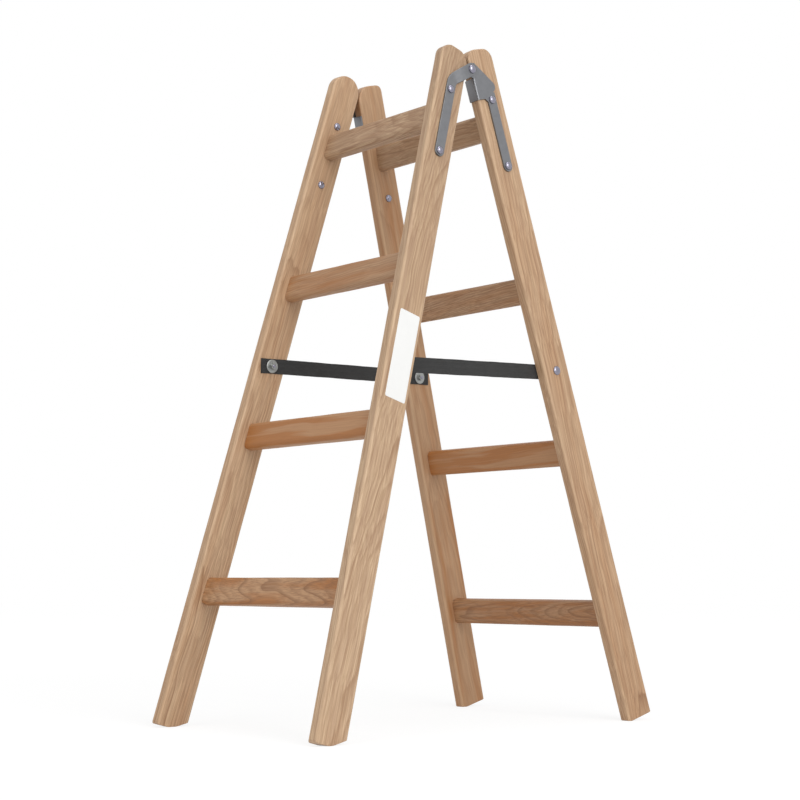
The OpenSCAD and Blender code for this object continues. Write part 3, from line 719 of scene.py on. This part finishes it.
def flat_bar(line, across, half_width, thickness, edge, round_ends=True):
    """Rings along a flat bar that follows a line with a width across it and a thickness above it.

    Each ring is a rectangle with eased edges. At a round end the bar goes on by half its width: with u
    from 0 to 1 along it and v from -1 to 1 across it, a point lies u * sqrt(1 - v^2 / 2) along and
    v * sqrt(1 - u^2 / 2) across, which maps the square to a disc.
    """
    along = np.gradient(line, axis=0)
    along /= np.linalg.norm(along, axis=1, keepdims=True)
    across = across - (across * along).sum(axis=1, keepdims=True) * along
    across /= np.linalg.norm(across, axis=1, keepdims=True)
    outward = np.cross(along, across)
    share = np.linspace(0, 1, END_ROWS)[1:] if round_ends else np.zeros(0)
    turn = np.concatenate([-share[::-1], np.zeros(len(line)), share])
    pick = np.clip(np.arange(len(turn)) - len(share), 0, len(line) - 1)
    half = np.broadcast_to(half_width, len(line))[pick][:, None]
    v, w = rounded_ring(ring_columns(16, 3, 3), -half, half, 0.0, thickness, edge)
    turn = turn[:, None]
    run = turn * half * np.sqrt(1 - np.clip(v / half, -1, 1) ** 2 / 2)
    v = v * np.sqrt(1 - turn ** 2 / 2)
    axes = (along[pick][:, None], across[pick][:, None], outward[pick][:, None])
    return line[pick][:, None] + sum(axis * part[..., None] for axis, part in zip(axes, (run, v, w)))


def bent_line(start, corner, end, ease, rows):
    """A line from start to end by way of a corner, which a quadratic curve rounds from a distance before
    it to that distance after it; rows is the number of points on each stretch.
    """
    start, corner, end = (np.array(point, float) for point in (start, corner, end))
    before = corner + (start - corner) / np.linalg.norm(start - corner) * ease
    after = corner + (end - corner) / np.linalg.norm(end - corner) * ease
    t = np.linspace(0, 1, rows)[:, None]
    curve = (1 - t) ** 2 * before + 2 * t * (1 - t) * corner + t ** 2 * after
    return np.concatenate([
        start + (before - start) * t[:-1], curve, after + (end - after) * t[1:],
    ])


def ease_in(share):
    """Rises from 0 to 1 with a level start and end: 3 s^2 - 2 s^3."""
    share = np.clip(share, 0, 1)
    return share ** 2 * (3 - 2 * share)


# ---- Hinges ----

EYE_CLEARANCE = 0.6 * MM
EYE_RADIUS = 11 * MM
LEAF_EDGE = 0.6 * MM


def front_eye_plane():
    """Distance of the front leaf's inner face from the ladder's middle plane, at the hinge pin."""
    s = shape()
    return s.top_width / 2 + s.hinge_drop * side_slope() + 2 * EYE_CLEARANCE + s.leaf_thickness


class LADDER_OT_leaves(bpy.types.Operator):
    """Makes the bent bars of the two front hinge leaves"""
    bl_idname = "ladder.leaves"
    bl_label = "Front hinge leaves"

    def execute(self, context):
        s = shape()
        splay = math.atan(side_slope())
        eye_drop = s.hinge_drop / math.cos(splay)
        flat = bent_line((0, -s.lower_rivet), (0, -s.leaf_bend), (-middle(), -eye_drop), 9 * MM, 16)
        # The bar lies on the stile up to its bend and then rises over the rear leaf's eye.
        eye_lift = (front_eye_plane() - s.top_width / 2 - eye_drop * math.sin(splay)) / math.cos(splay)
        rise = ease_in(-flat[:, 0] / (middle() - EYE_RADIUS - 2 * MM))
        line = np.stack([eye_lift * rise, flat[:, 0], flat[:, 1]], axis=-1)
        across = np.cross([1.0, 0.0, 0.0], np.gradient(line, axis=0))
        half = s.leaf_width / 2 + (EYE_RADIUS - s.leaf_width / 2) * rise
        rings = flat_bar(line, across, half, s.leaf_thickness, LEAF_EDGE)
        low = rings[..., 0] < 0
        rings[..., 0] -= min(0.0, rings[low][:, 0].min() if low.any() else 0.0) * low
        for side in (LEFT, RIGHT):
            node = f"front_leaf_{SIDE_NAMES[side]}"
            obj = make_mesh(
                f"steel_{node}", on_stile(with_poles(rings), FRONT, side), tube_faces(*rings.shape[:2]),
                MATERIALS["hinge_steel"],
            )
            stand_for(obj, "front_frame", "hinge_steel", node)
        return {"FINISHED"}


# ---- Rivets, pins, bolts, washers and nuts ----


def turned(profile, segments=40):
    """Rings of a turned shape: a profile of (radius, height) points carried round the Z axis."""
    radius, height = np.array(profile, float).T
    angle = np.linspace(0, 2 * np.pi, segments, endpoint=False)
    x, y = radius[:, None] * np.cos(angle), radius[:, None] * np.sin(angle)
    return np.stack([x, y, height[:, None] + 0 * x], axis=-1)


def round_head(diameter, height, rim=0.7 * MM):
    """A round head on Z = 0: a low rim, then a quarter ellipse up to the crown."""
    radius = diameter / 2
    turn = np.linspace(0, np.pi / 2, 14)
    dome = np.stack([radius * np.cos(turn), rim + (height - rim) * np.sin(turn)], axis=-1)
    return turned([(radius * 0.05, 0), (radius * 0.96, 0), (radius, 0.04 * height), *dome[:-1]])


def hex_nut(width, height):
    """A nut on Z = 0: its section is a hexagon, held inside a cone that chamfers its upper corners."""
    segments = 72
    rings = turned([(1, z) for z in (0, 0.0, height * 0.72, height * 0.86, height, height, height)], segments)
    angle = np.arctan2(rings[..., 1], rings[..., 0])
    sixth = np.pi / 3
    hexagon = width / 2 / np.cos((angle + sixth / 2) % sixth - sixth / 2)
    room = width / 2 + (height - rings[..., 2]) * math.sqrt(3)
    shrink = np.array([0.1, 1, 1, 1, 1, 0.8, 0.1])[:, None]
    radius = np.minimum(hexagon, room) * shrink
    return np.stack([radius * np.cos(angle), radius * np.sin(angle), rings[..., 2]], axis=-1)


def on_face(rings, side_of_hinge, side, drop, inwards, lift=0.0):
    """Turns a shape that stands on Z = 0 to stand on a stile's face at a drop, raised by a lift: on the
    outside face, or inwards, on the inside one.
    """
    points = with_poles(rings)
    x, y, z = np.moveaxis(points, -1, 0)
    outward = -shape().stile_thickness - lift - z if inwards else lift + z
    return on_stile(np.stack([outward, y, x - drop], axis=-1), side_of_hinge, side)


def join_shapes(shapes):
    """Several closed shapes as one list of points and one of faces, each turned to face outwards."""
    points, faces, start = [], [], 0
    for shape_points, rings in shapes:
        own = tube_faces(*rings.shape[:2])
        if volume(shape_points - shape_points.mean(axis=0), own) < 0:
            own = [face[::-1] for face in own]
        faces += [[corner + start for corner in face] for face in own]
        points.append(shape_points)
        start += len(shape_points)
    return np.concatenate(points), faces


class LADDER_OT_rivets(bpy.types.Operator):
    """Makes the round heads of the leaf rivets and of the hinge pins"""
    bl_idname = "ladder.rivets"
    bl_label = "Rivets and hinge pins"

    def execute(self, context):
        s = shape()
        head = round_head(s.rivet_head, 4.5 * MM)
        for side_of_hinge in (FRONT, REAR):
            for side in (LEFT, RIGHT):
                shapes = [
                    (on_face(head, side_of_hinge, side, drop, inwards, lift), head)
                    for drop in (s.upper_rivet, s.lower_rivet)
                    for inwards, lift in ((False, s.leaf_thickness), (True, 0.0))
                ]
                body = FRAME_NAMES[side_of_hinge]
                node = f"{body}_leaf_rivets_{SIDE_NAMES[side]}"
                obj = make_mesh(f"steel_{node}", *join_shapes(shapes), MATERIALS["bright_steel"], closed=False)
                stand_for(obj, f"{body}_frame", "bright_steel", node)
        pin = round_head(s.pin_head, 5 * MM, 1.1 * MM)
        tail_thickness, tail_radius, pin_radius = 1.8 * MM, 4.4 * MM, 4 * MM
        outer_plane = front_eye_plane() + s.leaf_thickness
        inner_plane = s.top_width / 2 + s.hinge_drop * side_slope() + EYE_CLEARANCE - tail_thickness
        pin_length = outer_plane - inner_plane
        tail = turned([
            (0.4 * MM, 0), (tail_radius - 0.2 * MM, 0), (tail_radius, 0.3 * MM), (tail_radius, tail_thickness),
            (pin_radius, tail_thickness), (pin_radius, pin_length), (0.4 * MM, pin_length),
        ])
        for side in (LEFT, RIGHT):
            shapes = []
            for rings, plane in ((pin, outer_plane), (tail, inner_plane)):
                x, y, z = np.moveaxis(with_poles(rings), -1, 0)
                shapes.append((on_frame(np.stack([side * (plane + z), y, x], axis=-1), FRONT), rings))
            node = f"hinge_pin_{SIDE_NAMES[side]}"
            obj = make_mesh(f"steel_{node}", *join_shapes(shapes), MATERIALS["bright_steel"], closed=False)
            stand_for(obj, "front_frame", "bright_steel", node)
        return {"FINISHED"}


class LADDER_OT_strap_fasteners(bpy.types.Operator):
    """Makes the bolt, washer and nut at each end of the straps"""
    bl_idname = "ladder.strap_fasteners"
    bl_label = "Strap fasteners"

    def execute(self, context):
        s = shape()
        washer_thickness, nut_height, bolt_radius = 1.6 * MM, 5 * MM, 3 * MM
        radius = s.washer / 2
        head = round_head(s.bolt_head, 4 * MM)
        end = turned([
            (0.3 * MM, 0), (bolt_radius, 0), (bolt_radius, 1.9 * MM), (bolt_radius - 0.6 * MM, 2.5 * MM),
            (0.3 * MM, 2.5 * MM),
        ])
        washer = turned([
            (0.5 * MM, 0), (radius - 0.3 * MM, 0), (radius, 0.3 * MM), (radius, 1.1 * MM),
            (radius - 0.5 * MM, washer_thickness), (radius - 3 * MM, washer_thickness),
            (0.5 * MM, washer_thickness),
        ])
        nut = hex_nut(s.nut, nut_height)
        seat = s.strap_thickness + 0.05 * MM
        for (side_of_hinge, side), stile in STILES.items():
            drop = stile["strap"] * MM
            frame_name = FRAME_NAMES[side_of_hinge]
            sunk = (side_of_hinge, side) == (FRONT, RIGHT)
            top = seat + washer_thickness + nut_height - 1 * MM
            for part, slot, shapes in (
                ("bolt", "bright_steel", ((head, False, -4.4 * MM if sunk else 0.0), (end, True, top))),
                ("washer", "zinc", ((washer, True, seat),)),
                ("nut", "zinc", ((nut, True, seat + washer_thickness),)),
            ):
                node = f"{frame_name}_strap_{part}_{SIDE_NAMES[side]}"
                placed = [
                    (on_face(rings, side_of_hinge, side, drop, inwards, lift), rings)
                    for rings, inwards, lift in shapes
                ]
                obj = make_mesh(f"steel_{node}", *join_shapes(placed), MATERIALS[slot], closed=False)
                if part == "nut":
                    obj.data.polygons.foreach_set("use_smooth", np.zeros(len(obj.data.polygons), bool))
                stand_for(obj, f"{frame_name}_frame", slot, node)
        return {"FINISHED"}


# ---- Straps ----

STRAP_SEAT = 0.05 * MM
STRAP_SETBACK = 8 * MM


def strap_end(side_of_hinge, side, turn):
    """The stretch of a strap on its stile, as points of its line in the ladder's axes from its cut end to
    the stile's inner edge, and the way out of the stile's inside face; it turns by an angle at the bolt.
    """
    s = shape()
    half = s.stile_depth / 2
    inward = np.linspace(-(half - STRAP_SETBACK), half, 40)
    drop = STILES[(side_of_hinge, side)]["strap"] * MM - inward * math.tan(turn)
    plane = np.full_like(inward, -s.stile_thickness - STRAP_SEAT)
    line = on_stile(np.stack([plane, -inward, -drop], axis=-1), side_of_hinge, side)
    out_of_face = np.array([[0.0, 0.0, 0.0], [-1.0, 0.0, 0.0]])
    start, end = on_stile(out_of_face, side_of_hinge, side)
    return line, end - start


def strap_bolt_place(side_of_hinge, side):
    drop = STILES[(side_of_hinge, side)]["strap"] * MM
    return on_stile(np.array([[-shape().stile_thickness, 0.0, -drop]]), side_of_hinge, side)[0]


class LADDER_OT_straps(bpy.types.Operator):
    """Makes the two woven straps"""
    bl_idname = "ladder.straps"
    bl_label = "Straps"

    def execute(self, context):
        s = shape()
        for side in (LEFT, RIGHT):
            way = strap_bolt_place(REAR, side) - strap_bolt_place(FRONT, side)
            rise = math.atan2(way[2], way[1])
            front, front_out = strap_end(FRONT, side, s.lean + rise)
            rear, rear_out = strap_end(REAR, side, s.lean - rise)
            share = np.linspace(0, 1, 120)[1:-1, None]
            span = front[-1] + (rear[-1] - front[-1]) * share
            line = np.concatenate([front, span, rear[::-1]])
            outward = np.concatenate([
                np.repeat(front_out[None], len(front), axis=0),
                front_out + (rear_out - front_out) * share,
                np.repeat(rear_out[None], len(rear), axis=0),
            ])
            across = np.cross(outward, np.gradient(line, axis=0))
            # The edges of the webbing wander by a few tenths of a millimetre.
            run = np.linalg.norm(line - line[0], axis=1)
            half = s.strap_width / 2 + waves(run, 40 + side, 0.12) * 0.25 * MM
            rings = flat_bar(line, across, half, s.strap_thickness, 0.8 * MM, round_ends=False)
            name = f"strap_{SIDE_NAMES[side]}"
            obj = make_mesh(
                f"webbing_{name}", with_poles(rings), tube_faces(*rings.shape[:2]), MATERIALS["webbing"]
            )
            middle_line = np.repeat(line[:, None], rings.shape[1], axis=1)
            sideways = ((rings - middle_line) * across[:, None]).sum(axis=-1)
            sideways /= np.linalg.norm(across, axis=1)[:, None]
            weave = np.stack([sideways, np.repeat(run[:, None], rings.shape[1], axis=1), 0 * sideways], axis=-1)
            give(obj, "weave", "FLOAT_VECTOR", with_poles(weave))
            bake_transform(obj)
            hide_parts(name)
        return {"FINISHED"}


# ---- Label ----

LABEL_OFFSET = 2 * MM
LABEL_CORNER = 3 * MM


class LADDER_OT_label(bpy.types.Operator):
    """Makes the blank label on the right front stile"""
    bl_idname = "ladder.label"
    bl_label = "Blank label"

    def execute(self, context):
        s = shape()
        half_width, half_length = s.label_width / 2, s.label_length / 2
        columns = ring_columns(10, 24, 6)
        rings = []
        for height, inset in ((0.02, 0.0), (0.2, 0.0), (0.28, 0.08), (0.3, 0.25), (0.3, 3.0)):
            inset *= MM
            y, z = rounded_ring(
                columns, -half_width + inset, half_width - inset, -half_length + inset, half_length - inset,
                max(LABEL_CORNER - inset, 0.2 * MM),
            )
            rings.append(np.stack([height * MM + 0 * y, y - LABEL_OFFSET, z - s.label_drop], axis=-1))
        base, rim = rings[0], rings[-1]
        inside = [rim.mean(axis=0) + (rim - rim.mean(axis=0)) * share for share in (0.7, 0.3, 0.02)]
        under = base.mean(axis=0) + (base - base.mean(axis=0)) * 0.02
        rings = np.stack([under, *rings, *inside])
        obj = make_mesh(
            "vinyl_blank_label", on_stile(with_poles(rings), FRONT, RIGHT), tube_faces(*rings.shape[:2]),
            MATERIALS["label"],
        )
        stand_for(obj, "front_frame", "label", "blank_label")
        return {"FINISHED"}


# ---- Stage ----


def area_light(name, place, aim, size, power):
    """A square soft light at a place, turned to its aim."""
    data = bpy.data.lights.new(name, "AREA")
    data.size = size
    data.energy = power
    obj = bpy.data.objects.new(name, data)
    bpy.context.scene.collection.objects.link(obj)
    obj.location = place
    obj.rotation_euler = (Vector(aim) - Vector(place)).to_track_quat("-Z", "Y").to_euler()
    return obj


FLOOR_GLOW = 1.11
FLOOR_FAR_GLOW = 0.12
FLOOR_SHARE = 0.72


def white_where_seen(node):
    """1 for camera, glossy and transmission rays, and 0 for the rays that light the ladder."""
    seen = node("ShaderNodeLightPath", output="Is Camera Ray")
    for ray in ("Is Glossy Ray", "Is Transmission Ray"):
        other = node("ShaderNodeLightPath", output=ray)
        seen = node(MATH, {0: seen, 1: other}, operation="MAXIMUM")
    return seen


class LADDER_OT_stage(bpy.types.Operator):
    """Makes the floor, the lights and the camera"""
    bl_idname = "ladder.stage"
    bl_label = "Stage"

    def execute(self, context):
        scene = context.scene
        stage = scene.ladder_stage
        scene.view_settings.view_transform = "Standard"
        white = (1.0, 1.0, 1.0, 1.0)
        # Where the camera, a mirror or glass looks straight at it, the backdrop is plain white.
        world = bpy.data.worlds.new("studio")
        world.use_nodes = True
        world.node_tree.nodes.clear()
        node = functools.partial(add_node, world.node_tree)
        seen = white_where_seen(node)
        ambient = node("ShaderNodeBackground", {"Color": white, "Strength": stage.ambient})
        glow = node("ShaderNodeBackground", {"Color": white, "Strength": 1.0})
        mixed = node("ShaderNodeMixShader", {0: seen, 1: ambient, 2: glow})
        node("ShaderNodeOutputWorld", {"Surface": mixed})
        scene.world = world

        # The floor glows in part, so that it is as white as the backdrop, and in part keeps the shadow.
        material, node = new_material("matte paper floor")
        seen = white_where_seen(node)
        glowing = node(MATH, {0: seen, 1: FLOOR_SHARE}, operation="MULTIPLY")
        paper = node("ShaderNodeBsdfDiffuse", {"Color": opaque(stage.floor)})
        # The lights fade over the first three metres, so the glow makes up for it there.
        place = node("ShaderNodeTexCoord", output="Object")
        away = node(VECTOR_MATH, {0: place}, output="Value", operation="LENGTH")
        away = node(MATH, {0: away, 1: 3.0}, operation="DIVIDE", use_clamp=True)
        strength = node(MATH, {0: away, 1: FLOOR_FAR_GLOW, 2: FLOOR_GLOW}, operation="MULTIPLY_ADD")
        glow = node("ShaderNodeEmission", {"Color": white, "Strength": strength})
        mixed = node("ShaderNodeMixShader", {0: glowing, 1: paper, 2: glow})
        node(OUTPUT, {"Surface": mixed})
        reach = np.array([-1.0, 1.0]) * 12
        x, y = np.meshgrid(reach, reach, indexing="ij")
        points = np.stack([x.ravel(), y.ravel(), np.zeros(4)], axis=-1)
        floor = make_mesh("floor", points, [[0, 2, 3, 1]], material, closed=False)

        area_light("key light", (3.4, -0.6, 2.0), (0, 0, 0.6), 2.2, stage.key_power)
        area_light("fill light", (0.4, -3.6, 1.6), (0, 0, 0.5), 2.2, stage.fill_power)
        area_light("top light", (0.6, -0.4, 3.4), (0, 0, 0.6), 1.8, stage.top_power)

        camera = bpy.data.cameras.new("camera")
        camera.lens = 74.51
        camera.sensor_width = 36
        obj = bpy.data.objects.new("camera", camera)
        scene.collection.objects.link(obj)
        obj.location = (2.18799, -1.91801, 0.24751)
        obj.rotation_euler = (math.radians(90 + 6.18), 0, math.radians(49.05))
        scene.camera = obj
        return {"FINISHED"}


class LADDER_PT_panel(bpy.types.Panel):
    bl_label = "Stepladder"
    bl_idname = "LADDER_PT_panel"
    bl_space_type = "VIEW_3D"
    bl_region_type = "UI"
    bl_category = "Stepladder"

    def draw(self, context):
        for group in (context.scene.ladder_shape, context.scene.ladder_finish, context.scene.ladder_stage):
            box = self.layout.box()
            for name in group.__annotations__:
                box.prop(group, name)
        for operator in OPERATORS:
            self.layout.operator(operator.bl_idname)


OPERATORS = (
    LADDER_OT_finishes, LADDER_OT_stiles, LADDER_OT_rungs, LADDER_OT_leaves, LADDER_OT_rivets,
    LADDER_OT_strap_fasteners, LADDER_OT_straps, LADDER_OT_label, LADDER_OT_stage,
)
GROUPS = {"ladder_shape": LadderShape, "ladder_finish": LadderFinish, "ladder_stage": LadderStage}


def register():
    for group in GROUPS.values():
        bpy.utils.register_class(group)
    for operator in OPERATORS:
        bpy.utils.register_class(operator)
    bpy.utils.register_class(LADDER_PT_panel)
    for name, group in GROUPS.items():
        setattr(bpy.types.Scene, name, PointerProperty(type=group))


def unregister():
    for name in GROUPS:
        delattr(bpy.types.Scene, name)
    for cls in (LADDER_PT_panel, *OPERATORS, *GROUPS.values()):
        bpy.utils.unregister_class(cls)


def main():
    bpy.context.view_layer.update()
    register()
    bpy.ops.ladder.finishes()
    bpy.ops.ladder.stiles()
    bpy.ops.ladder.rungs()
    bpy.ops.ladder.leaves()
    bpy.ops.ladder.rivets()
    bpy.ops.ladder.strap_fasteners()
    bpy.ops.ladder.straps()
    bpy.ops.ladder.label()
    bpy.ops.ladder.stage()


if __name__ == "__main__":
    main()
